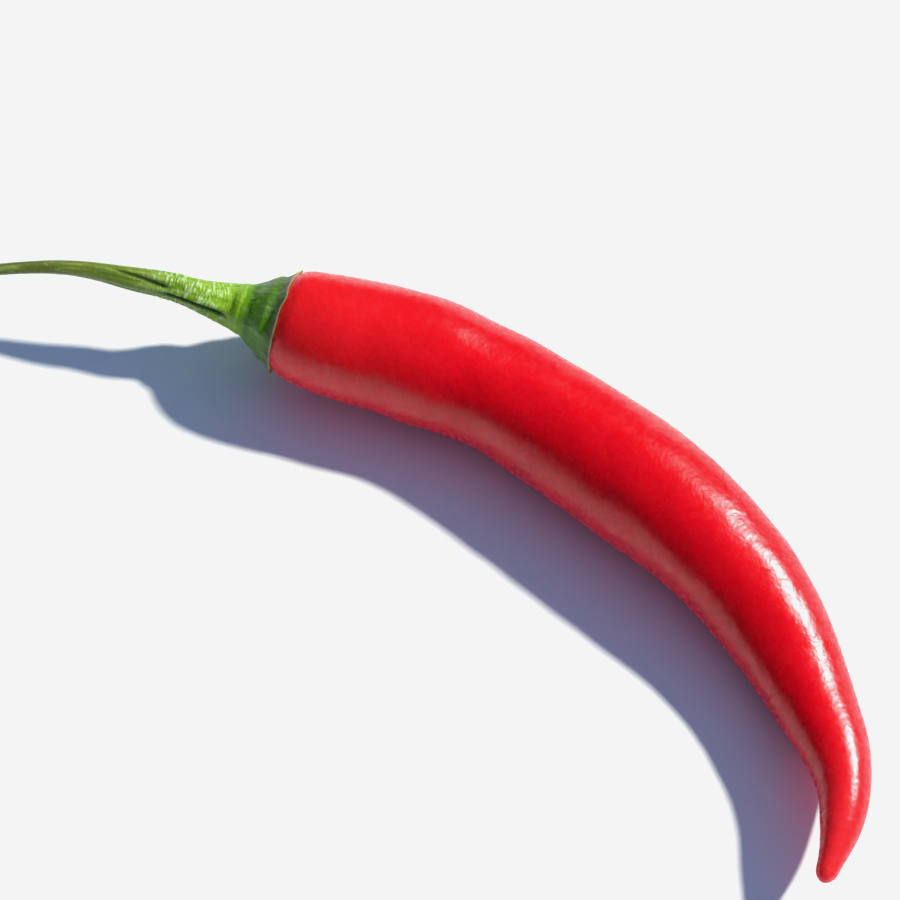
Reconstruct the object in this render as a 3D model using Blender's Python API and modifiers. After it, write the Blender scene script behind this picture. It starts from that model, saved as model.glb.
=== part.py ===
"""A long red chilli pepper, as picked, lying on a flat surface.

Three pieces that grew together: the curved pod, the green calyx that caps its shoulder, and the stem.
Metres, +Z up. The origin is on the surface, under the middle of the chilli. +X runs from the stem's
cut end to the pod's tip, and the pod arches towards +Y. It rests on its belly, on the underside of the
bend before the tip, and on the end of the stem, which arches up from the calyx and down again.
"""

import math

import bpy
import numpy as np
from mathutils import Matrix, Vector

# The pod's middle line, from the calyx rim to the tip: x, y, and its height above the surface.
POD_LINE = [
    (-0.0322, 0.00575, 0.01204),
    (-0.0234, 0.00855, 0.01169),
    (-0.0170, 0.0109, 0.01129),
    (-0.0031, 0.01455, 0.01039),
    (0.0170, 0.01505, 0.00974),
    (0.0327, 0.01355, 0.00991),
    (0.0491, 0.00975, 0.00894),
    (0.0601, 0.00475, 0.00739),
    (0.0707, -0.00225, 0.00769),
    (0.07715, -0.0076, 0.00879),
    (0.0810, -0.01305, 0.00954),
    (0.08345, -0.0189, 0.00964),
    (0.0849, -0.02465, 0.00914),
]
# The pod's radius before its ends are rounded off, against the distance along its line from the rim.
POD_RADIUS = [
    (-0.0030, 0.0076),
    (0.0000, 0.00805),
    (0.0070, 0.00915),
    (0.0160, 0.0097),
    (0.0230, 0.0099),
    (0.0305, 0.00945),
    (0.0445, 0.00945),
    (0.0615, 0.0098),
    (0.0770, 0.00905),
    (0.0925, 0.00775),
    (0.1025, 0.0065),
    (0.1150, 0.0048),
    (0.1215, 0.0038),
    (0.1275, 0.0029),
    (0.1315, 0.00205),
    (0.1358, 0.0014),
]
SHOULDER_DEPTH = 0.0030   # how far the pod's shoulder reaches back into the calyx
SHOULDER_ROUND = 0.0060   # the length over which the shoulder rounds off
TIP_ROUND = 0.0018        # the length over which the tip rounds off

RIM_RADIUS = 0.0075       # the calyx at its open rim
RIM_BACK = 0.0003         # the rim stands this far behind the start of the pod's line
CALYX_HEIGHT = 0.0059     # from the start of the pod's line back to the top of the calyx
CALYX_TOP_RADIUS = 0.0039
CALYX_WAIST_BACK = 0.0040  # where the cup turns up towards the stem
CALYX_WAIST_RADIUS = 0.0048

# The stem's middle line after it leaves the calyx, up to its cut end.
STEM_LINE = [
    (-0.0441, 0.00105, 0.01434),
    (-0.0473, -0.00005, 0.01494),
    (-0.0528, -0.00255, 0.01554),
    (-0.0601, -0.00565, 0.01579),
    (-0.0652, -0.00855, 0.01579),
    (-0.0714, -0.01315, 0.01544),
    (-0.0759, -0.01645, 0.01394),
    (-0.0798, -0.01945, 0.01004),
    (-0.0830, -0.02195, 0.00504),
    (-0.0852, -0.02365, 0.00059),
]
STEM_STRAIGHT = 0.0015    # the stem leaves the calyx along the pod's line for this far
# The stem's radius, against the distance along its line from the top of the calyx.
STEM_RADIUS = [
    (0.0000, 0.00395),
    (0.0026, 0.00325),
    (0.0051, 0.00275),
    (0.0076, 0.00235),
    (0.0140, 0.00195),
    (0.0214, 0.00145),
    (0.0277, 0.0011),
    (0.0385, 0.00087),
    (0.0520, 0.00085),
    (0.0600, 0.0010),
]

GAP = 0.0003              # between pieces that touch
CLOSED_RADIUS = 0.0002    # the flat left at the middle of a rounded end
POD_RINGS, POD_SIDES = 64, 24
CROWDING = 0.9            # how much closer the pod's rings lie at its ends, from 0 to 1
STEM_RINGS, STEM_SIDES = 34, 12
CALYX_STEPS, CALYX_SIDES = 10, 32

RED = (0.56, 0.004, 0.011, 1.0)
DARK_GREEN = (0.045, 0.115, 0.014, 1.0)
GREEN = (0.16, 0.33, 0.03, 1.0)


def spline_through(knots, values):
    """The natural cubic spline through the values at the knots, as a function."""
    knots, values = np.asarray(knots, float), np.asarray(values, float)
    last = len(knots) - 1
    span = np.diff(knots)
    system, right = np.eye(last + 1), np.zeros_like(values)
    for i in range(1, last):
        system[i, i - 1 : i + 2] = span[i - 1], 2 * (span[i - 1] + span[i]), span[i]
        right[i] = 6 * ((values[i + 1] - values[i]) / span[i] - (values[i] - values[i - 1]) / span[i - 1])
    bend = np.linalg.solve(system, right)

    def at(t):
        i = int(np.clip(np.searchsorted(knots, t) - 1, 0, last - 1))
        before, after, width = t - knots[i], knots[i + 1] - t, span[i]
        curved = (bend[i] * after**3 + bend[i + 1] * before**3) / (6 * width)
        start = (values[i] / width - bend[i] * width / 6) * after
        end = (values[i + 1] / width - bend[i + 1] * width / 6) * before
        return curved + start + end

    return at


def line_through(points):
    """A smooth line through the points: its place at a distance along it, and its length."""
    points = np.asarray(points, float)
    chords = np.linalg.norm(np.diff(points, axis=0), axis=1)
    knots = np.concatenate([[0.0], np.cumsum(chords)])
    place = spline_through(knots, points)
    fine = np.linspace(0.0, knots[-1], 400)
    steps = np.linalg.norm(np.diff([place(t) for t in fine], axis=0), axis=1)
    travelled = np.concatenate([[0.0], np.cumsum(steps)])

    def at(distance):
        return Vector(place(np.interp(distance, travelled, fine)))

    return at, float(travelled[-1])


def rounded(distance, depth):
    """The share of its full radius that a rounded end has at a distance from the end."""
    return math.sqrt(1 - (1 - min(max(distance / depth, 0.0), 1.0)) ** 2)


def crowded(start, end, count):
    """Distances from start to end, closer together at both ends."""
    for i in range(count):
        t = i / (count - 1)
        yield start + (end - start) * (t - CROWDING * math.sin(2 * math.pi * t) / (2 * math.pi))


def material(name, colour, roughness):
    """A plain Principled material."""
    made = bpy.data.materials.new(name)
    made.use_nodes = True
    shader = made.node_tree.nodes["Principled BSDF"]
    shader.inputs["Base Color"].default_value = colour
    shader.inputs["Roughness"].default_value = roughness
    shader.inputs["Metallic"].default_value = 0.0
    return made


def tube(name, centres, radii, sides):
    """A round tube with filled ends: a curve whose bevel follows the radii."""
    curve = bpy.data.curves.new(name, "CURVE")
    curve.dimensions = "3D"
    curve.bevel_depth = 1.0
    curve.bevel_resolution = (sides - 4) // 2
    curve.use_fill_caps = True
    spline = curve.splines.new("POLY")
    spline.points.add(len(centres) - 1)
    for point, centre, radius in zip(spline.points, centres, radii):
        point.co = (*centre, 1.0)
        point.radius = radius
    spline.use_smooth = True
    return bpy.data.objects.new(name, curve)


def base_axis():
    """The start of the pod's line, and the direction back from it, through the calyx to the stem."""
    line, _ = line_through(POD_LINE)
    return line(0.0), (line(0.0) - line(0.0005)).normalized()


def pod_radius(distance, length):
    """The pod's radius at a distance along its line, which is negative inside the calyx."""
    profile = spline_through(*zip(*POD_RADIUS))
    shoulder = rounded(distance + SHOULDER_DEPTH, SHOULDER_ROUND)
    tip = rounded(length - distance, TIP_ROUND)
    return max(float(profile(distance)) * shoulder * tip, CLOSED_RADIUS)


def make_pod():
    """The pod is one tapering tube, rounded at its shoulder and at its tip."""
    line, length = line_through(POD_LINE)
    start, back = base_axis()
    distances = list(crowded(-SHOULDER_DEPTH, length, POD_RINGS))
    centres = [line(s) if s > 0 else start - back * s for s in distances]
    radii = [pod_radius(s, length) for s in distances]
    pod = tube("pod", centres, radii, POD_SIDES)
    pod.data.materials.append(material("red_skin", RED, 0.25))
    return pod


def make_calyx():
    """The calyx is a turned cup. Its mouth follows the pod's shoulder, and its top is flat for the stem."""
    start, back = base_axis()
    _, length = line_through(POD_LINE)
    outside = [
        (0.0, CALYX_HEIGHT),
        (CALYX_TOP_RADIUS, CALYX_HEIGHT),
        (CALYX_WAIST_RADIUS, CALYX_WAIST_BACK),
        (RIM_RADIUS, RIM_BACK),
    ]
    inside = []
    for i in range(CALYX_STEPS):
        turn = math.pi / 2 * i / CALYX_STEPS
        distance = -RIM_BACK - (SHOULDER_DEPTH - RIM_BACK) * math.sin(turn)
        inside.append((pod_radius(distance, length) + GAP * math.cos(turn), -distance + GAP * math.sin(turn)))
    profile = outside + inside + [(0.0, SHOULDER_DEPTH + GAP)]
    mesh = bpy.data.meshes.new("calyx")
    points = [(radius, 0.0, height) for radius, height in profile]
    mesh.from_pydata(points, [(i, i + 1) for i in range(len(points) - 1)], [])
    calyx = bpy.data.objects.new("calyx", mesh)
    calyx.matrix_world = Matrix.Translation(start) @ back.to_track_quat("Z", "Y").to_matrix().to_4x4()
    turned = calyx.modifiers.new("turned", "SCREW")
    turned.steps = turned.render_steps = CALYX_SIDES
    turned.use_merge_vertices = True
    turned.merge_threshold = 0.00001
    calyx.data.materials.append(material("calyx_green", DARK_GREEN, 0.55))
    return calyx


def make_stem():
    """The stem flares into the calyx, thins, and arches down to its cut end, which is a flat face."""
    start, back = base_axis()
    foot = start + back * (CALYX_HEIGHT + GAP)
    line, length = line_through([foot, foot + back * STEM_STRAIGHT] + [Vector(p) for p in STEM_LINE])
    profile = spline_through(*zip(*STEM_RADIUS))
    distances = [length * i / (STEM_RINGS - 1) for i in range(STEM_RINGS)]
    stem = tube("stem", [line(s) for s in distances], [float(profile(s)) for s in distances], STEM_SIDES)
    stem.data.materials.append(material("stem_green", GREEN, 0.5))
    return stem


def main():
    for old in list(bpy.data.objects):
        bpy.data.objects.remove(old)
    chilli = bpy.data.collections.new("chilli_pepper")
    bpy.context.scene.collection.children.link(chilli)
    for piece in (make_pod(), make_calyx(), make_stem()):
        chilli.objects.link(piece)


main()
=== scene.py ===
"""The looks of a long red chilli pepper: fine skin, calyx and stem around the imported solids. Metres."""

import math

import bpy
import numpy as np
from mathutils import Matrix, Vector, noise


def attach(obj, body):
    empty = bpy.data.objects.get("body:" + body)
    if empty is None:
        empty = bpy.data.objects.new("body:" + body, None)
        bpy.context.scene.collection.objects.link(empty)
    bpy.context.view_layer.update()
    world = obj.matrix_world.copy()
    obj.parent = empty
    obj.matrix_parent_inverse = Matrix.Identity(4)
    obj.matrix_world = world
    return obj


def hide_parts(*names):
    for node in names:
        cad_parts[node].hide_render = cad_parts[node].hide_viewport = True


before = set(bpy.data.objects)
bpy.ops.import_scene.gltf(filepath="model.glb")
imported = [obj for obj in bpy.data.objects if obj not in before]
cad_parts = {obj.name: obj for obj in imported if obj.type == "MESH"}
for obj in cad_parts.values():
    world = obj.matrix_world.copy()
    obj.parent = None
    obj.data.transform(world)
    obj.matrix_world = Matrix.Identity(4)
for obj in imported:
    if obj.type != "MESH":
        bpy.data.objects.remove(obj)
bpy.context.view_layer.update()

MM = 0.001
LINE_PIECES = 400            # for measuring along a line
LINE_STEP = 0.0005           # for finding the direction of a line at its start
FALLOFF, FINER = 1.0, 2.0    # each octave of the noise is half as strong and twice as fine as the last
MIX_FIRST, MIX_SECOND, MIX_RESULT = 6, 7, 2   # a Mix node's sockets for colours

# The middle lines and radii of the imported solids, repeated from the part's own design.
POD_LINE = [
    (-0.0322, 0.00575, 0.01204),
    (-0.0234, 0.00855, 0.01169),
    (-0.0170, 0.0109, 0.01129),
    (-0.0031, 0.01455, 0.01039),
    (0.0170, 0.01505, 0.00974),
    (0.0327, 0.01355, 0.00991),
    (0.0491, 0.00975, 0.00894),
    (0.0601, 0.00475, 0.00739),
    (0.0707, -0.00225, 0.00769),
    (0.07715, -0.0076, 0.00879),
    (0.0810, -0.01305, 0.00954),
    (0.08345, -0.0189, 0.00964),
    (0.0849, -0.02465, 0.00914),
]
POD_RADIUS = [
    (-0.0030, 0.0076),
    (0.0000, 0.00805),
    (0.0070, 0.00915),
    (0.0160, 0.0097),
    (0.0230, 0.0099),
    (0.0305, 0.00945),
    (0.0445, 0.00945),
    (0.0615, 0.0098),
    (0.0770, 0.00905),
    (0.0925, 0.00775),
    (0.1025, 0.0065),
    (0.1150, 0.0048),
    (0.1215, 0.0038),
    (0.1275, 0.0029),
    (0.1315, 0.00205),
    (0.1358, 0.0014),
]
SHOULDER_DEPTH = 0.0030
SHOULDER_ROUND = 0.0060
TIP_ROUND = 0.0018
CALYX_HEIGHT = 0.0059
STEM_LINE = [
    (-0.0441, 0.00105, 0.01434),
    (-0.0473, -0.00005, 0.01494),
    (-0.0528, -0.00255, 0.01554),
    (-0.0601, -0.00565, 0.01579),
    (-0.0652, -0.00855, 0.01579),
    (-0.0714, -0.01315, 0.01544),
    (-0.0759, -0.01645, 0.01394),
    (-0.0798, -0.01945, 0.01004),
    (-0.0830, -0.02195, 0.00504),
    (-0.0852, -0.02365, 0.00059),
]
STEM_STRAIGHT = 0.0015
STEM_RADIUS = [
    (0.0000, 0.00395),
    (0.0026, 0.00325),
    (0.0051, 0.00275),
    (0.0076, 0.00235),
    (0.0140, 0.00195),
    (0.0214, 0.00145),
    (0.0277, 0.0011),
    (0.0385, 0.00087),
    (0.0520, 0.00085),
    (0.0600, 0.0010),
]

# Angles round a piece are in degrees from straight up, positive towards the outside of the bend.
POD_RINGS, POD_SIDES = 300, 112
CROWDING = 0.9               # how much closer the pod's rings lie at its ends, from 0 to 1
CLOSED_RADIUS = 0.00003      # the hole left at the middle of a rounded end, before it is closed
TIP_GAP = 0.00001            # the skin stops this far short of the end of the pod's line
FLOOR_GAP = 0.00003          # the skin's lowest point stays this far above the floor
LUMP_HEIGHT = 0.00022        # slow swellings and hollows over the skin
LUMP_LENGTH = 0.011
LUMP_WIDTH = 0.008
LUMP_FADE = 0.006            # the length over which they fade out towards the shoulder
FULL_LUMPS_RADIUS = 0.008    # where the pod is thinner than this, the swellings are lower
SHOULDER_LOBES = 3
FIRST_LOBE = 40
LOBE_HEIGHT = 0.018          # as a share of the radius, fading away from the shoulder
LOBE_FADE = 0.016

CALYX_INSIDE_RINGS, CALYX_RINGS, CALYX_SIDES = 14, 60, 280
CALYX_CROWDING = 1.2         # its outside rings lie closer together at the rim
CUP_DEPTH = 0.8              # how far in the cup reaches, as a share of the shoulder's depth
# The calyx's outside: how far back from the start of the pod's line, and the radius there.
CALYX_OUTSIDE = [
    (0.0000, 0.00790),
    (0.0012, 0.00700),
    (0.0024, 0.00600),
    (0.0036, 0.00510),
    (0.0048, 0.00440),
    (0.0059, 0.00398),
]
RIM_REACH = 0.0005           # how far the rim between the teeth reaches past the start of the pod's line
RIM_THICKNESS = 0.00024
SKIN_GAP = 0.00004           # between the calyx's inside and the skin
SKIN_LEFT, SKIN_LEAVING = 0.0002, 0.0020   # the outside leaves the skin this far back, over this length
RAGGED_HEIGHT, RAGGED_SIZE = 0.00012, 0.30   # the rim's unevenness, its size on a circle of radius 1
# Each tooth of the calyx: angle in degrees, how far it reaches past the rim, how far its tip lifts off
# the skin, and half its width in degrees, about a third of the way up.
TEETH = [
    (62, 0.0004, 0.00042, 9),
    (124, 0.0009, 0.0003, 11),
    (-176, 0.0009, 0.0003, 10),
    (-119, 0.0001, 0.0006, 8),
    (-62, 0.0001, 0.0001, 9),
    (-2, 0.0004, 0.0002, 8),
]
TOOTH_POINT = 1.7            # the power that makes a tooth pointed
CURL_INSIDE, CURL_OUTSIDE = 3, 6   # the powers with which a tooth's lift dies away from the rim
LIP_DEPTH, LIP_HEIGHT = 0.0004, 0.00025   # how far the calyx's lip turns in round the stem, and up
LIP_RINGS, LIP_START = 5, 0.25   # the first ring stands at this share of the lip's quarter turn
# The calyx's relief: ribs behind the teeth, streaks along it, pits, and broad swellings. The sizes of
# the streaks and swellings are on a circle of radius 1.
RIB_RISE, RIB_HALF_WIDTH = 0.00014, 13
FULL_LIFT = 0.0004           # a tooth that lifts this far has a full rib behind it and a brown tip
STREAK_RISE, STREAK_SIZE, STREAK_STRETCH = 0.00007, 0.11, 0.045
PIT_RISE, PIT_SIZE = 0.00006, 0.0009
SWELL_RISE, SWELL_SIZE = 0.00022, 0.55
SHEEN_ANGLE, SHEEN_HALF_WIDTH = -38, 42   # painted sheen: the side of the calyx painted a brighter green, as if it caught the light
# Lengths in millimetres, measured from the rim.
RELIEF_GROWS, RELIEF_FADES, RELIEF_END = 0.8, 1.4, 6.4   # the relief grows, then fades before its end
BROWN_FADES = 0.5            # the brown of the teeth's tips fades over this
CALYX_SPAN = 6.5             # the greens run over this

STEM_RINGS, STEM_SIDES = 640, 120
STEM_WRINKLED, WRINKLED_SHARE = 0.020, 0.6   # the wrinkled stretch, and the share of the rings on it
STEM_GAP = 0.0003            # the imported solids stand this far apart
STEM_SUNK = 0.0005           # how far the stem reaches back into the calyx's lip
STEM_RIBS = 6
RIB_MIDDLE = 0.5             # the ribs rise as much above this as they dip below it
RIB_TWIST = 1500.0           # of the ribs' wave, in degrees a metre
# Against the distance along the stem: the ribs' height as a share of the radius, and the wrinkling.
RIB_HEIGHT = [(0.0, 0.02), (0.004, 0.06), (0.012, 0.10), (0.030, 0.09), (0.049, 0.08)]
WRINKLING = [(0.001, 0.3), (0.004, 0.6), (0.008, 1.0), (0.013, 0.7), (0.018, 0.15)]
WRINKLE_RISE, WRINKLE_SIZE = 0.0001, (0.00034, 0.0012, 0.0012)
THREAD_RISE, THREAD_SIZE = 0.00005, (0.006, 0.0005, 0.0005)
THREADED_RADIUS = 0.0015     # where the stem is thinner than this, its threads rise less
STEM_SPAN = 62.0             # the length in millimetres that the greens run over
GROOVE_SHADE = 6             # turns a groove's depth into how dark its painted shade is
GROOVE_START, GROOVE_END = 0.003, 0.004   # the lengths over which a groove deepens and fades
# Each groove: its angle in degrees at the foot, its turn in degrees a metre, the stretch that it runs
# along, its depth as a share of the radius, and half its width in degrees.
GROOVES = [
    (-70, 0, 0.0015, 0.0150, 0.20, 8),
    (-110, 5640, 0.0105, 0.0225, 0.20, 12),
    (150, 200, 0.0040, 0.0260, 0.14, 11),
    (-160, -500, 0.0080, 0.0300, 0.12, 10),
]

SHOULDER_SHEEN_SPAN = (0.0, 30.0)  # millimetres along the pod over which the shoulder's paler red, a painted sheen, fades
TIP_SHEEN_SPAN = (112.0, 134.0)    # and over which the tip's paler red, a painted sheen, comes in

VIEW_WIDTH = 0.135           # what the camera sees across, at the chilli
VIEW_HEADING, VIEW_HEIGHT = 35.0, 60.0   # degrees: where the picture's right points, and the camera's height
VIEW_CENTRE = (0.0010, 0.00275, 0.0099)
LENS, SENSOR = 180.0, 36.0   # millimetres
SUN_HEADING = 48.5           # of the direction to the sun, in degrees from +X towards +Y
SUN_HEIGHT = 44.0
SUN_SIZE = 3.4               # degrees across, which softens the shadow's edge
SUN_STRENGTH = 4.2
SUN_COLOUR = (1.0, 0.995, 0.87)
SKY_HEIGHT = 62.0            # of the brightest part of the sky
SKY_DARK, SKY_MIDDLE, SKY_BRIGHT = (0.03, 0.035, 0.08), (0.12, 0.175, 0.32), (0.275, 0.39, 0.68)
ROOM = (0.006, 0.006, 0.012)  # what the gloss mirrors above the floor, apart from the softboxes
# Softboxes that only show as gloss: heading, height, width, length, and power in watts.
SOFTBOXES = [
    (69.0, 38.0, 0.26, 0.34, 15.0),
    (86.0, 43.0, 0.30, 0.26, 2.0),
]
SOFTBOX_DISTANCE = 1.0
SOFTBOX_TARGET = (0.07, -0.005, 0.012)
FLOOR_HALF = 3.0             # half the floor's width
BACKDROP = (0.84, 0.84, 0.85)
WHITEST = 0.905              # the brightest value in the picture, on a linear scale
ALL_CHANNELS = 3             # the curve that acts on red, green and blue together


def spline_through(knots, values):
    """The natural cubic spline through the values at the knots, as a function of an array."""
    knots, values = np.asarray(knots, float), np.asarray(values, float)
    last = len(knots) - 1
    span = np.diff(knots)
    system, right = np.eye(last + 1), np.zeros_like(values)
    for i in range(1, last):
        system[i, i - 1 : i + 2] = span[i - 1], 2 * (span[i - 1] + span[i]), span[i]
        right[i] = 6 * ((values[i + 1] - values[i]) / span[i] - (values[i] - values[i - 1]) / span[i - 1])
    bend = np.linalg.solve(system, right)

    def at(t):
        t = np.atleast_1d(np.asarray(t, float))
        i = np.clip(np.searchsorted(knots, t) - 1, 0, last - 1)
        before, after, width = t - knots[i], knots[i + 1] - t, span[i]
        if values.ndim == 2:
            before, after, width = before[:, None], after[:, None], width[:, None]
        curved = (bend[i] * after**3 + bend[i + 1] * before**3) / (6 * width)
        start = (values[i] / width - bend[i] * width / 6) * after
        end = (values[i + 1] / width - bend[i + 1] * width / 6) * before
        return curved + start + end

    return at


def line_through(points):
    """A smooth line through the points: its places at distances along it, and its length."""
    points = np.asarray(points, float)
    knots = np.concatenate([[0.0], np.cumsum(np.linalg.norm(np.diff(points, axis=0), axis=1))])
    place = spline_through(knots, points)
    fine = np.linspace(0.0, knots[-1], LINE_PIECES)
    steps = np.linalg.norm(np.diff(place(fine), axis=0), axis=1)
    travelled = np.concatenate([[0.0], np.cumsum(steps)])
    return (lambda s: place(np.interp(s, travelled, fine))), float(travelled[-1])


def rounded(distance, depth):
    """The share of its full radius that a rounded end has at distances from the end."""
    return np.sqrt(1 - (1 - np.clip(distance / depth, 0.0, 1.0)) ** 2)


def crowded(start, end, count):
    """Distances from start to end, closer together at both ends."""
    t = np.linspace(0, 1, count)
    return start + (end - start) * (t - CROWDING * np.sin(2 * np.pi * t) / (2 * np.pi))


def eased(t):
    """A smooth step from 0 to 1."""
    return t * t * (3 - 2 * t)


def rising(values, start, length):
    """0 before the start, and 1 from a length after it."""
    return np.clip((values - start) / length, 0, 1)


def falling(values, end, length):
    """1 until a length before the end, and 0 after the end."""
    return np.clip((end - values) / length, 0, 1)


def unit(vectors):
    """The vectors, each made 1 long."""
    return vectors / np.linalg.norm(vectors, axis=-1, keepdims=True)


def directions_along(centres):
    """Across each point of a line: the direction to the outside of the bend, and the one that points up."""
    along = unit(np.gradient(centres, axis=0))
    out = unit(np.cross((0.0, 0.0, 1.0), along))
    return out, np.cross(along, out)


def apart(angle, centre):
    """How far an angle is from a centre angle, from -180 to 180 degrees."""
    return (angle - centre + 180) % 360 - 180


def bell(angle, centre, half_width):
    """1 at a centre angle, falling smoothly to 0 on both sides. All in degrees."""
    return np.exp(-((apart(angle, centre) / half_width) ** 2))


def noise_field(points, size, octaves):
    """Smooth noise between about -1 and 1 at each point of an array, with features of the given size."""
    flat = (points / np.asarray(size)).reshape(-1, 3)
    values = [noise.fractal(Vector(p), FALLOFF, FINER, octaves) for p in flat]
    return np.array(values).reshape(points.shape[:-1])


def shell(name, rings, **fields):
    """A smooth mesh through rings of points, with a fan over each end, and its fields as attributes."""
    count, sides = rings.shape[:2]
    points = [tuple(p) for p in rings.reshape(-1, 3)]
    faces = []
    for i in range(count - 1):
        for j in range(sides):
            k = (j + 1) % sides
            faces.append((i * sides + j, i * sides + k, (i + 1) * sides + k, (i + 1) * sides + j))
    for ring, turn in ((0, 1), (count - 1, -1)):
        points.append(tuple(rings[ring].mean(axis=0)))
        first = ring * sides
        for j in range(sides):
            pair = (first + (j + 1) % sides, first + j)[::turn]
            faces.append((len(points) - 1, *pair))
    mesh = bpy.data.meshes.new(name)
    mesh.from_pydata(points, [], faces)
    for field, values in fields.items():
        flat = list(np.broadcast_to(values, (count, sides)).reshape(-1))
        flat += [float(np.mean(values[ring])) for ring in (0, count - 1)]
        attribute = mesh.attributes.new(field, "FLOAT", "POINT")
        attribute.data.foreach_set("value", np.array(flat, np.float32))
    mesh.shade_smooth()
    made = bpy.data.objects.new(name, mesh)
    bpy.context.scene.collection.objects.link(made)
    return made


# ---------------------------------------------------------------- the shapes

pod_line, pod_length = line_through(POD_LINE)
pod_start = pod_line(0.0)[0]
pod_back = unit(pod_start - pod_line(LINE_STEP)[0])
pod_profile = spline_through(*zip(*POD_RADIUS))


def pod_radius(s):
    """The skin's radius at distances along the pod's line, which are negative inside the calyx."""
    shoulder = rounded(s + SHOULDER_DEPTH, SHOULDER_ROUND)
    tip = rounded(pod_length - s, TIP_ROUND)
    return np.maximum(pod_profile(s) * shoulder * tip, CLOSED_RADIUS)


def around(centres, out, up, angles, radii):
    """Points round a line: one ring for each centre, with a radius for each ring and angle."""
    turn = np.radians(angles)
    spokes = np.cos(turn)[None, :, None] * up[:, None, :] + np.sin(turn)[None, :, None] * out[:, None, :]
    return centres[:, None, :] + spokes * radii[:, :, None]


def pod_centres(s):
    """Places on the pod's line, which runs on straight back behind its start."""
    on_line = pod_line(np.maximum(s, 0.0))
    behind = np.maximum(-s, 0.0)[:, None] * pod_back
    return on_line + behind


def pod_rings(s, angles):
    """The skin's points. It swells and dips slowly, and its shoulder has soft lobes."""
    centres = pod_centres(s)
    out, up = directions_along(centres)
    radius = pod_radius(s)[:, None]
    lobes = np.cos(np.radians(angles - FIRST_LOBE) * SHOULDER_LOBES)[None, :]
    fade = np.exp(-np.maximum(s, 0.0) / LOBE_FADE)[:, None]
    radii = radius * (1 + LOBE_HEIGHT * lobes * fade)
    turn = np.radians(angles)[None, :]
    across = np.stack([
        np.broadcast_to(s[:, None] / LUMP_LENGTH, radii.shape),
        radius * np.cos(turn) / LUMP_WIDTH,
        radius * np.sin(turn) / LUMP_WIDTH,
    ], axis=-1)
    lumps = noise_field(across, 1.0, octaves=2) * np.minimum(radius / FULL_LUMPS_RADIUS, 1.0)
    lumps *= 1 - np.exp(-np.maximum(s, 0.0) / LUMP_FADE)[:, None]
    rings = around(centres, out, up, angles, radii + LUMP_HEIGHT * lumps)
    rings[..., 2] = np.maximum(rings[..., 2], FLOOR_GAP)
    return rings


def make_pod():
    """The skin runs from the shoulder, inside the calyx, to just short of the tip's end."""
    s = crowded(-SHOULDER_DEPTH, pod_length - TIP_GAP, POD_RINGS)
    angles = np.linspace(0, 360, POD_SIDES, endpoint=False)
    rings = pod_rings(s, angles)
    return shell("pod_skin", rings, along=s[:, None] / MM)


def calyx_rings(back, radii, angles):
    """Rings round the start of the pod's line, each point at its own distance back, and their spokes."""
    out, up = directions_along(pod_centres(np.array([0.0, LINE_STEP, 2 * LINE_STEP])))
    turn = np.radians(angles)[None, :, None]
    spokes = np.cos(turn) * up[0] + np.sin(turn) * out[0]
    return pod_start + pod_back * back[..., None] + spokes * radii[..., None], spokes


def calyx_teeth(angles):
    """For each angle: how far the rim reaches, how far it lifts, and the height of the rib behind it."""
    reach = np.full(CALYX_SIDES, RIM_REACH)
    curl, rib = np.zeros(CALYX_SIDES), np.zeros(CALYX_SIDES)
    for centre, length, lift, half_width in TEETH:
        point = np.clip(1 - np.abs(apart(angles, centre)) / (2 * half_width), 0, 1) ** TOOTH_POINT
        reach += length * point
        curl += lift * point
        rib += lift / FULL_LIFT * bell(angles, centre, RIB_HALF_WIDTH)
    turn = np.radians(angles)
    ragged = np.stack([np.cos(turn), np.sin(turn), np.zeros(CALYX_SIDES)], axis=-1)
    reach += RAGGED_HEIGHT * noise_field(ragged, RAGGED_SIZE, octaves=2)
    return reach, curl, rib


def calyx_profile(reach, curl):
    """The distances back and the radii of the calyx's rings: its inside, its outside, and its lip."""
    # inside, from its depth out to the rim, the cup lies on the pod's shoulder
    t = np.linspace(1, 0, CALYX_INSIDE_RINGS)[:, None]
    back_inside = -reach + t * (SHOULDER_DEPTH * CUP_DEPTH + reach)
    inside = pod_radius(-back_inside) + SKIN_GAP + curl * (1 - t) ** CURL_INSIDE
    # outside, it climbs from the rim to the stem
    t = np.linspace(0, 1, CALYX_RINGS)[:, None] ** CALYX_CROWDING
    back_outside = -reach + t * (CALYX_HEIGHT + reach)
    cup = spline_through(*zip(*CALYX_OUTSIDE))(back_outside.reshape(-1)).reshape(back_outside.shape)
    on_skin = pod_radius(-back_outside) + SKIN_GAP + RIM_THICKNESS
    outside = on_skin + (cup - on_skin) * eased(rising(back_outside, SKIN_LEFT, SKIN_LEAVING))
    outside += curl * (1 - t) ** CURL_OUTSIDE
    # the lip turns in to the stem
    turn = np.linspace(LIP_START, 1.0, LIP_RINGS)[:, None] * math.pi / 2 * np.ones(CALYX_SIDES)
    back_lip = CALYX_HEIGHT + LIP_HEIGHT * np.sin(turn)
    lip = CALYX_OUTSIDE[-1][1] - LIP_DEPTH * (1 - np.cos(turn))
    edge = np.vstack([np.zeros_like(inside), back_outside + reach, back_lip + reach]) / MM
    return np.vstack([back_inside, back_outside, back_lip]), np.vstack([inside, outside, lip]), edge


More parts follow.
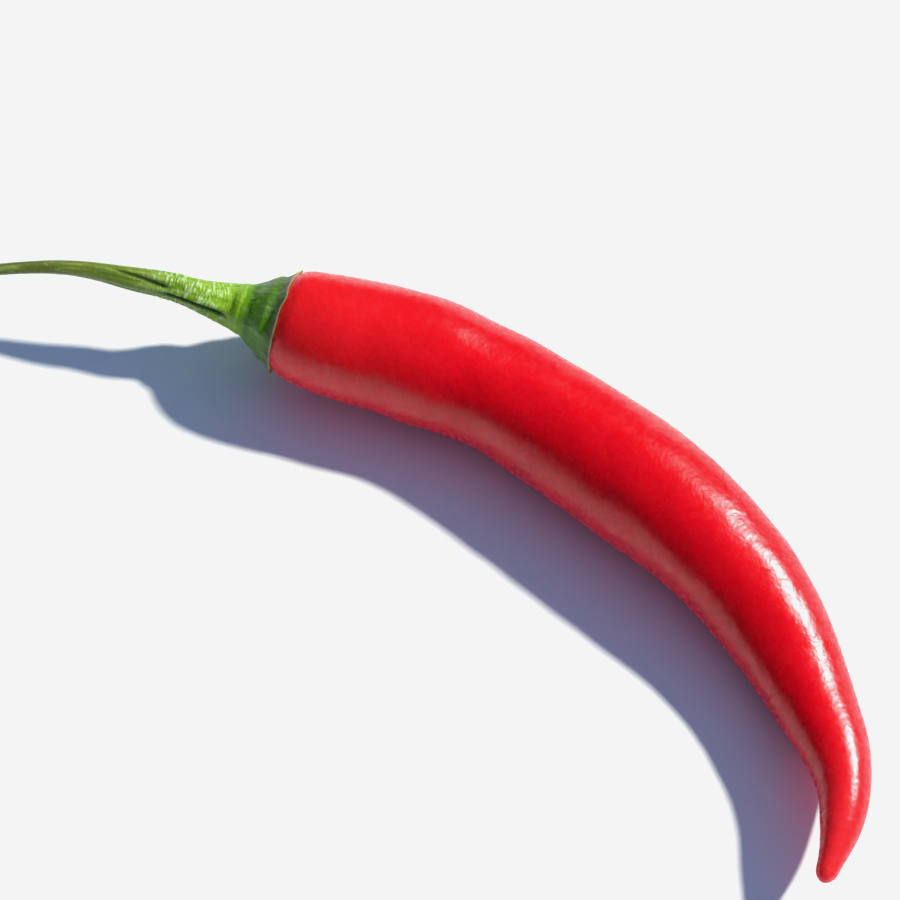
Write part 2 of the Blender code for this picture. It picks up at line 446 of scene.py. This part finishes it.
def make_calyx():
    """A cup with a toothed rim that clasps the shoulder. Ribs run from its teeth to a lip round the stem."""
    angles = np.linspace(0, 360, CALYX_SIDES, endpoint=False)
    reach, curl, rib = calyx_teeth(angles)
    back, radii, edge = calyx_profile(reach, curl)
    rings, spokes = calyx_rings(back, radii, angles)
    free = rising(edge, 0.0, RELIEF_GROWS) * falling(edge, RELIEF_END, RELIEF_FADES)
    turn = np.radians(angles)
    across = np.ones_like(radii)
    around_cup = np.stack([np.cos(turn) * across, np.sin(turn) * across, edge * STREAK_STRETCH], axis=-1)
    streak = noise_field(around_cup, STREAK_SIZE, octaves=3)
    pits = noise_field(rings, PIT_SIZE, octaves=3)
    swell = noise_field(around_cup, SWELL_SIZE, octaves=1)
    relief = RIB_RISE * rib + STREAK_RISE * streak + PIT_RISE * pits + SWELL_RISE * swell
    rings = rings + spokes * (relief * free)[..., None]
    on_outside = (np.arange(len(radii)) >= CALYX_INSIDE_RINGS)[:, None]
    tip = curl / FULL_LIFT * falling(edge, BROWN_FADES, BROWN_FADES) * on_outside
    # painted sheen: a band round one angle that is painted brighter
    bright = bell(angles, SHEEN_ANGLE, SHEEN_HALF_WIDTH) * across
    return shell("calyx_cup", rings, edge=edge, streak=streak, tip=tip, bright=bright)


def stem_hollow(s, angles):
    """How deep the grooves are, as a share of the radius, at each distance and angle."""
    hollow = np.zeros((STEM_RINGS, STEM_SIDES))
    for angle, turn, start, end, depth, half_width in GROOVES:
        middle = angle + turn * s[:, None]
        ends = rising(s, start, GROOVE_START) * falling(s, end, GROOVE_END)
        hollow += depth * bell(angles[None, :], middle, half_width) * eased(ends)[:, None]
    return hollow


def make_stem():
    """The stem flares into the calyx, is ribbed and grooved along its length, and has wrinkles across."""
    foot = pod_start + pod_back * (CALYX_HEIGHT + STEM_GAP)
    line, length = line_through([foot, foot + pod_back * STEM_STRAIGHT] + STEM_LINE)
    share = np.linspace(0, 1, STEM_RINGS)
    s = np.interp(share, [0, WRINKLED_SHARE, 1], [-STEM_SUNK, STEM_WRINKLED, length])
    centres = line(np.maximum(s, 0.0)) + np.maximum(-s, 0.0)[:, None] * -pod_back
    out, up = directions_along(centres)
    angles = np.linspace(0, 360, STEM_SIDES, endpoint=False)
    radius = spline_through(*zip(*STEM_RADIUS))(np.maximum(s, 0.0))[:, None]
    rib_turn = np.radians(angles[None, :] * STEM_RIBS / 2 + s[:, None] * RIB_TWIST)
    ribs = np.abs(np.cos(rib_turn)) - RIB_MIDDLE
    rib_height = np.interp(s, *zip(*RIB_HEIGHT))[:, None]
    hollow = stem_hollow(s, angles)
    radii = radius * (1 + rib_height * ribs - hollow)
    rings = around(centres, -out, up, angles, radii)
    turn = np.radians(angles)[None, :]
    place = np.stack([
        np.broadcast_to(s[:, None], radii.shape),
        radius * np.cos(turn),
        radius * np.sin(turn),
    ], axis=-1)
    wrinkling = np.interp(s, *zip(*WRINKLING))[:, None]
    wrinkles = noise_field(place, WRINKLE_SIZE, octaves=3) * wrinkling
    threads = noise_field(place, THREAD_SIZE, octaves=2)
    spokes = unit(rings - centres[:, None, :])
    relief = WRINKLE_RISE * wrinkles + THREAD_RISE * threads * np.minimum(radius / THREADED_RADIUS, 1)
    rings = rings + spokes * relief[..., None]
    # painted shade: how dark each groove is painted, from its depth
    shade = hollow * GROOVE_SHADE
    return shell("stem_stalk", rings, along=s[:, None] / MM, hollow=shade, wrinkle=wrinkles, thread=threads)


# ---------------------------------------------------------------- the materials


def new_material(name):
    """A material with its nodes, its links and its Principled shader."""
    made = bpy.data.materials.new(name)
    made.use_nodes = True
    nodes, links = made.node_tree.nodes, made.node_tree.links
    return made, nodes, links, nodes["Principled BSDF"]


def add(nodes, kind, **settings):
    """A node with its properties and, by name, the values of its inputs."""
    node = nodes.new(kind)
    for name, value in settings.items():
        if name in node.inputs:
            node.inputs[name].default_value = value
        else:
            setattr(node, name, value)
    return node


def ramp(nodes, links, source, stops):
    """A colour ramp on a value."""
    node = nodes.new("ShaderNodeValToRGB")
    elements = node.color_ramp.elements
    while len(elements) < len(stops):
        elements.new(0.5)   # each stop gets its place below
    for element, (position, colour) in zip(elements, stops):
        element.position = position
        element.color = (*colour, 1.0)
    links.new(source, node.inputs["Fac"])
    return node.outputs["Color"]


def noise_of(nodes, links, scale, detail, roughness=0.5, stretch=None):
    """Noise in object space; scale is in features a metre."""
    coordinates = nodes.new("ShaderNodeTexCoord").outputs["Object"]
    if stretch:
        mapping = add(nodes, "ShaderNodeMapping", Scale=stretch)
        links.new(coordinates, mapping.inputs["Vector"])
        coordinates = mapping.outputs["Vector"]
    node = add(nodes, "ShaderNodeTexNoise", Scale=scale, Detail=detail, Roughness=roughness)
    links.new(coordinates, node.inputs["Vector"])
    return node.outputs["Fac"]


def attribute(nodes, name):
    """One of the fields that the mesh carries."""
    return add(nodes, "ShaderNodeAttribute", attribute_name=name).outputs["Fac"]


def scaled(nodes, links, source, span, onto=(0.0, 1.0)):
    """A value that runs over one span, carried onto another and kept inside it."""
    node = add(nodes, "ShaderNodeMapRange")
    for name, value in zip(("From Min", "From Max", "To Min", "To Max"), (*span, *onto)):
        node.inputs[name].default_value = value
    links.new(source, node.inputs["Value"])
    return node.outputs["Result"]


def mixed(nodes, links, factor, first, second):
    """A mix of two colours, each of them a socket or a plain colour."""
    node = add(nodes, "ShaderNodeMix", data_type="RGBA")
    links.new(factor, node.inputs["Factor"])
    for key, colour in ((MIX_FIRST, first), (MIX_SECOND, second)):
        if isinstance(colour, bpy.types.NodeSocket):
            links.new(colour, node.inputs[key])
        else:
            node.inputs[key].default_value = (*colour, 1.0)
    return node.outputs[MIX_RESULT]


def bumped(nodes, links, height, distance, onto=None):
    """Bumps on the surface, or on other bumps; distance is their height in metres."""
    node = add(nodes, "ShaderNodeBump", Strength=1.0, Distance=distance)
    links.new(height, node.inputs["Height"])
    if onto is not None:
        links.new(onto, node.inputs["Normal"])
    return node.outputs["Normal"]


def skin_material():
    """Waxy red skin: slow mottling, a painted sheen of paler red at both ends, and a fine net of bumps that
    breaks up the gloss.
    """
    made, nodes, links, shader = new_material("red_skin")
    mottling = noise_of(nodes, links, scale=110, detail=2.0)
    red = ramp(nodes, links, mottling, [(0.3, (0.82, 0.0004, 0.008)), (0.7, (0.88, 0.0010, 0.010))])
    # painted sheen: the red is painted paler and pinker towards the shoulder
    shoulder = scaled(nodes, links, attribute(nodes, "along"), SHOULDER_SHEEN_SPAN, onto=(1.0, 0.0))
    red = mixed(nodes, links, shoulder, red, (0.92, 0.012, 0.017))
    # painted sheen: the red is painted paler and pinker towards the tip
    tip = scaled(nodes, links, attribute(nodes, "along"), TIP_SHEEN_SPAN)
    red = mixed(nodes, links, tip, red, (0.92, 0.024, 0.032))
    links.new(red, shader.inputs["Base Color"])
    dullness = noise_of(nodes, links, scale=900, detail=3.0)
    links.new(scaled(nodes, links, dullness, (0.3, 0.7), onto=(0.22, 0.32)), shader.inputs["Roughness"])
    net = noise_of(nodes, links, scale=1800, detail=3.0, roughness=0.6)
    dimples = noise_of(nodes, links, scale=420, detail=3.0)
    normal = bumped(nodes, links, net, distance=0.000055)
    normal = bumped(nodes, links, dimples, distance=0.00014, onto=normal)
    links.new(normal, shader.inputs["Normal"])
    shader.inputs["IOR"].default_value = 1.46
    shader.inputs["Subsurface Weight"].default_value = 0.6
    shader.inputs["Subsurface Radius"].default_value = (1.0, 0.12, 0.08)
    shader.inputs["Subsurface Scale"].default_value = 0.003
    return made


def calyx_material():
    """Dark green leaf with a painted sheen of brighter green on one side, greyish streaks, a dry pale edge
    and brown tips.
    """
    made, nodes, links, shader = new_material("calyx_green")
    edge = attribute(nodes, "edge")
    from_rim = scaled(nodes, links, edge, (0.0, CALYX_SPAN))
    dark = ramp(nodes, links, from_rim, [
        (0.00, (0.070, 0.120, 0.014)),
        (0.35, (0.085, 0.170, 0.010)),
        (0.66, (0.110, 0.260, 0.006)),
        (0.80, (0.080, 0.220, 0.004)),
        (0.92, (0.180, 0.430, 0.004)),
    ])
    # painted sheen: the brighter greens of the side that seems to catch the light
    bright = ramp(nodes, links, from_rim, [
        (0.10, (0.060, 0.130, 0.006)),
        (0.30, (0.120, 0.330, 0.002)),
        (0.66, (0.130, 0.380, 0.002)),
        (0.76, (0.050, 0.170, 0.002)),
        (0.90, (0.210, 0.500, 0.003)),
    ])
    # painted sheen: the brighter greens are mixed in round one side
    green = mixed(nodes, links, attribute(nodes, "bright"), dark, bright)
    patches = noise_of(nodes, links, scale=650, detail=4.0, roughness=0.65)
    patches = scaled(nodes, links, patches, (0.56, 0.74), onto=(0.0, 0.4))
    green = mixed(nodes, links, patches, green, (0.016, 0.040, 0.006))
    grey = scaled(nodes, links, attribute(nodes, "streak"), (0.08, 0.45), onto=(0.0, 0.55))
    green = mixed(nodes, links, grey, green, (0.24, 0.34, 0.15))
    near_edge = scaled(nodes, links, edge, (0.10, 0.34), onto=(1.0, 0.0))
    colour = mixed(nodes, links, near_edge, green, (0.50, 0.42, 0.16))
    tip = scaled(nodes, links, attribute(nodes, "tip"), (0.25, 0.7))
    colour = mixed(nodes, links, tip, colour, (0.035, 0.028, 0.014))
    links.new(colour, shader.inputs["Base Color"])
    dullness = noise_of(nodes, links, scale=700, detail=2.0)
    links.new(scaled(nodes, links, dullness, (0.3, 0.7), onto=(0.34, 0.55)), shader.inputs["Roughness"])
    grain = noise_of(nodes, links, scale=2200, detail=3.0)
    links.new(bumped(nodes, links, grain, distance=0.0001), shader.inputs["Normal"])
    return made


def stem_material():
    """Yellow-green where it flares, olive and dry further on, with painted shade in the grooves and pale
    specks.
    """
    made, nodes, links, shader = new_material("stem_green")
    along = scaled(nodes, links, attribute(nodes, "along"), (0.0, STEM_SPAN))
    base = ramp(nodes, links, along, [
        (0.00, (0.260, 0.520, 0.002)),
        (0.06, (0.240, 0.480, 0.003)),
        (0.15, (0.210, 0.400, 0.008)),
        (0.26, (0.180, 0.280, 0.018)),
        (0.50, (0.135, 0.165, 0.020)),
        (0.96, (0.110, 0.130, 0.040)),
        (0.99, (0.150, 0.120, 0.055)),
    ])
    patches = noise_of(nodes, links, scale=700, detail=4.0, roughness=0.65)
    patches = scaled(nodes, links, patches, (0.54, 0.72), onto=(0.0, 0.5))
    dappled = mixed(nodes, links, patches, base, (0.05, 0.13, 0.004))
    fibres = scaled(nodes, links, attribute(nodes, "thread"), (0.0, 0.5), onto=(0.0, 0.5))
    dappled = mixed(nodes, links, fibres, dappled, (0.36, 0.50, 0.10))
    flecks = noise_of(nodes, links, scale=2400, detail=3.0, roughness=0.7, stretch=(0.35, 1.0, 1.0))
    flecks = scaled(nodes, links, flecks, (0.58, 0.70), onto=(0.0, 0.55))
    dappled = mixed(nodes, links, flecks, dappled, (0.50, 0.56, 0.24))
    pale = scaled(nodes, links, attribute(nodes, "wrinkle"), (0.12, 0.36), onto=(0.0, 0.9))
    dappled = mixed(nodes, links, pale, dappled, (0.50, 0.66, 0.26))
    # painted shade: the grooves are painted dark by their depth
    hollow = scaled(nodes, links, attribute(nodes, "hollow"), (0.15, 0.9), onto=(0.0, 0.88))
    colour = mixed(nodes, links, hollow, dappled, (0.025, 0.070, 0.002))
    links.new(colour, shader.inputs["Base Color"])
    shader.inputs["Roughness"].default_value = 0.40
    grain = noise_of(nodes, links, scale=2600, detail=3.0)
    links.new(bumped(nodes, links, grain, distance=0.0001), shader.inputs["Normal"])
    return made


def floor_material():
    """Matt and nearly white."""
    made, _, _, shader = new_material("pale_floor")
    shader.inputs["Base Color"].default_value = (0.92, 0.92, 0.92, 1.0)
    shader.inputs["Roughness"].default_value = 0.8
    shader.inputs["Specular IOR Level"].default_value = 0.0
    return made


# ---------------------------------------------------------------- the stage


def make_floor():
    """A wide, flat floor under the chilli."""
    mesh = bpy.data.meshes.new("floor")
    corners = [(x * FLOOR_HALF, y * FLOOR_HALF, 0) for x, y in ((-1, -1), (1, -1), (1, 1), (-1, 1))]
    mesh.from_pydata(corners, [], [(0, 1, 2, 3)])
    floor = bpy.data.objects.new("floor", mesh)
    bpy.context.scene.collection.objects.link(floor)
    floor.data.materials.append(floor_material())


def direction(heading, height):
    """The unit vector towards a heading and a height above the horizon, both in degrees."""
    heading, height = math.radians(heading), math.radians(height)
    level = math.cos(height)
    return Vector((math.cos(heading) * level, math.sin(heading) * level, math.sin(height)))


def make_lights():
    """The sun casts the shadow and leaves the gloss to the softboxes. The sky fills the shade with blue."""
    sun = bpy.data.lights.new("sun", "SUN")
    sun.energy = SUN_STRENGTH
    sun.angle = math.radians(SUN_SIZE)
    sun.color = SUN_COLOUR
    placed = bpy.data.objects.new("sun", sun)
    placed.rotation_mode = "QUATERNION"
    placed.rotation_quaternion = direction(SUN_HEADING, SUN_HEIGHT).to_track_quat("Z", "Y")
    placed.visible_glossy = False
    bpy.context.scene.collection.objects.link(placed)
    for softbox in SOFTBOXES:
        make_softbox(*softbox)
    make_sky()


def make_softbox(heading, height, width, length, power):
    """A rectangle of light that faces the chilli and only shows in its gloss."""
    light = bpy.data.lights.new("softbox", "AREA")
    light.shape = "RECTANGLE"
    light.size, light.size_y = width, length
    light.energy = power
    placed = bpy.data.objects.new("softbox", light)
    away = direction(heading, height)
    placed.location = Vector(SOFTBOX_TARGET) + away * SOFTBOX_DISTANCE
    placed.rotation_mode = "QUATERNION"
    placed.rotation_quaternion = away.to_track_quat("Z", "Y")
    placed.visible_diffuse = placed.visible_camera = False
    bpy.context.scene.collection.objects.link(placed)


def make_sky():
    """A blue sky, brightest on the sun's side. Gloss mirrors a dim room, and the camera sees a backdrop."""
    world = bpy.data.worlds.new("sky")
    world.use_nodes = True
    nodes, links = world.node_tree.nodes, world.node_tree.links
    coordinates = nodes.new("ShaderNodeTexCoord").outputs["Generated"]
    towards = add(nodes, "ShaderNodeVectorMath", operation="DOT_PRODUCT")
    links.new(coordinates, towards.inputs[0])
    towards.inputs[1].default_value = direction(SUN_HEADING, SKY_HEIGHT)
    stops = [(0.0, SKY_DARK), (0.6, SKY_MIDDLE), (1.0, SKY_BRIGHT)]
    sky = ramp(nodes, links, towards.outputs["Value"], stops)
    ray = nodes.new("ShaderNodeLightPath")
    lit = mixed(nodes, links, ray.outputs["Is Glossy Ray"], sky, ROOM)
    seen = mixed(nodes, links, ray.outputs["Is Camera Ray"], lit, BACKDROP)
    links.new(seen, nodes["Background"].inputs["Color"])
    bpy.context.scene.world = world


def set_exposure():
    """The lit floor is overexposed, and the picture's white stops a little short of full."""
    view = bpy.context.scene.view_settings
    view.view_transform = "Standard"
    view.use_curve_mapping = True
    curve = view.curve_mapping.curves[ALL_CHANNELS]
    curve.points[1].location = (WHITEST, WHITEST)
    curve.points.new(1.0, WHITEST)
    for point in curve.points:
        point.handle_type = "VECTOR"
    view.curve_mapping.update()


def make_camera():
    """A long lens that looks steeply down on the pod and lets the stem run out of the picture."""
    heading = VIEW_HEADING - 90
    back = direction(heading, VIEW_HEIGHT)
    data = bpy.data.cameras.new("camera")
    data.lens, data.sensor_width = LENS, SENSOR
    data.clip_start = 0.01
    camera = bpy.data.objects.new("camera", data)
    camera.rotation_mode = "QUATERNION"
    distance = VIEW_WIDTH * LENS / SENSOR
    camera.location = Vector(VIEW_CENTRE) + back * distance
    camera.rotation_quaternion = (-back).to_track_quat("-Z", "Y")
    bpy.context.scene.collection.objects.link(camera)
    bpy.context.scene.camera = camera


make_camera()
make_lights()
make_floor()
for piece, node, slot, finish in (
    (make_pod(), "pod", "pod_skin", skin_material),
    (make_calyx(), "calyx", "calyx_green", calyx_material),
    (make_stem(), "stem", "stem_green", stem_material),
):
    piece.data.materials.append(finish())
    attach(piece, "root")
    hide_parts(node)

set_exposure()
